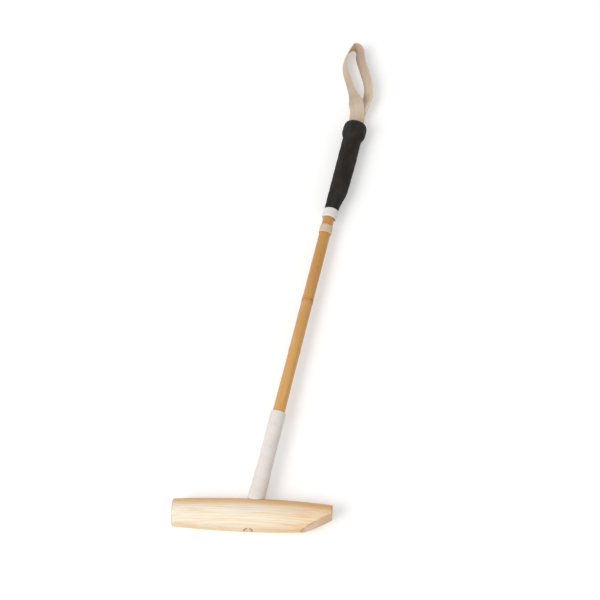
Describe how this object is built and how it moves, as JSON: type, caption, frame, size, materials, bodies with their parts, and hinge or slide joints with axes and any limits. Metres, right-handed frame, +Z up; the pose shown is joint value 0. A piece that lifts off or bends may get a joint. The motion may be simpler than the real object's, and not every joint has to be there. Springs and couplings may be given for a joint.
{
  "type": "foot polo mallet",
  "caption": "Short mallet with a cigar-shaped bevelled wooden head, a cane shaft, a black wrapped grip with a butt knob, and a webbing hand sling.",
  "frame": {"origin": "middle of the underside of the mallet's box as it lies on a table, on the plane that the belly of the head and the butt knob touch", "axes": "+Z up from the table; the head runs along X with its bevelled heel at +X; the cane runs from the head towards +Y and leans 11.2 degrees towards +X, so +Y is the longest extent"},
  "size_m": [0.2834, 0.858, 0.049],
  "materials": {
    "head_wood": "pale hardwood, fine straight grain, satin varnish",
    "wedge_wood": "pale end grain",
    "rattan": "varnished rattan, golden brown, two growth rings",
    "binding_cord": "waxed cord underlay",
    "neck_cloth": "pale cloth tape, woven",
    "band_cloth": "beige cloth tape",
    "cheek_wood": "plain wood, hidden under the binding",
    "nail_steel": "bright steel",
    "sling_cotton": "beige cotton webbing, woven ribs, matt",
    "white_cotton": "white cotton tape, woven",
    "black_wrap": "black rubberised tape, matt and grainy",
    "knob_wood": "plain wood, hidden under the wrap",
    "cap_rubber": "black rubber, matt"
  },
  "bodies": {
    "mallet": {"butt_cap": "cap_rubber", "cane": "rattan", "cheek_brad_1": "nail_steel", "cheek_brad_2": "nail_steel", "grip_wrap": "black_wrap", "handle_binding": "white_cotton", "handle_cheek": "cheek_wood", "head": "head_wood", "head_wedge": "wedge_wood", "knob_core": "knob_wood", "neck_binding": "binding_cord", "neck_tape": "neck_cloth", "sling_tack_1": "nail_steel", "sling_tack_2": "nail_steel", "sling_tack_3": "nail_steel", "sling_tack_4": "nail_steel", "sling_tail_back": "sling_cotton", "sling_tail_front": "sling_cotton", "upper_tape_band": "band_cloth"},
    "sling_stem": {"sling_stem": "sling_cotton"},
    "sling_loop": {"sling_loop": "sling_cotton"}
  },
  "joints": [
    {"name": "sling_root_swing", "type": "hinge", "parent": "mallet", "child": "sling_stem", "pos_m": [0.1143, 0.27096, 0.01935], "axis": [0.9811, -0.1935, 0.0023], "range_deg": [0, 90]},
    {"name": "sling_fold", "type": "hinge", "parent": "sling_stem", "child": "sling_loop", "pos_m": [0.11794, 0.30541, 0.01894], "axis": [0.9811, -0.1935, 0.0023], "range_deg": [0, 90]}
  ]
}
